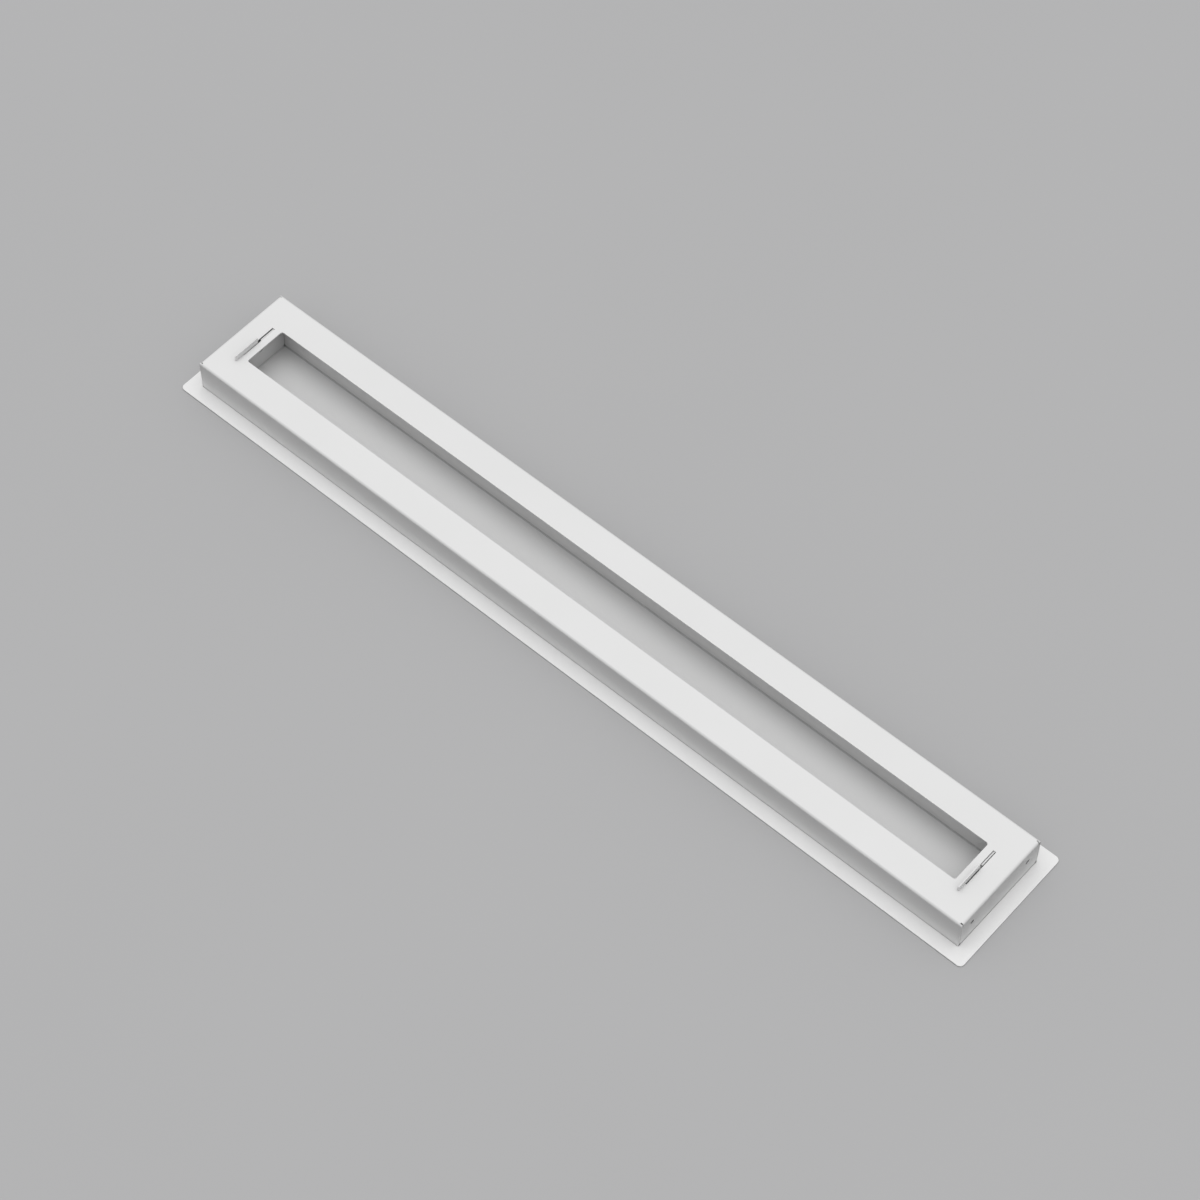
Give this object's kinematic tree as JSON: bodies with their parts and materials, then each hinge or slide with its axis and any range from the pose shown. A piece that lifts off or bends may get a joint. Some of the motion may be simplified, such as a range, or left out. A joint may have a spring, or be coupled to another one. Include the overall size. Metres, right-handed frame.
{
  "type": "wall vent cover",
  "caption": "Long recessed wall vent: flat rim, folded back box with a slot-shaped air opening, and a removable front panel hung on two hooks.",
  "frame": {"origin": "centre of the front face, which is the plane of the rim's room side", "axes": "+X along the length, +Z from the room side into the wall, +Y from the hooks towards the side of the front panel that swings out"},
  "size_m": [1, 0.15, 0.046],
  "materials": {
    "rim_coat": "matt white powder coat with fine orange peel",
    "box_coat": "matt white powder coat with fine orange peel",
    "panel_coat": "matt white powder coat with fine orange peel"
  },
  "bodies": {
    "frame": {"flange_plate": "rim_coat", "back_box": "box_coat"},
    "panel": {"hook_panel": "panel_coat"}
  },
  "joints": [
    {"name": "panel_swing", "type": "hinge", "parent": "frame", "child": "panel", "pos_m": [0, -0.0216, 0.038], "axis": [-1, 0, 0], "range_deg": [0, 25]}
  ]
}
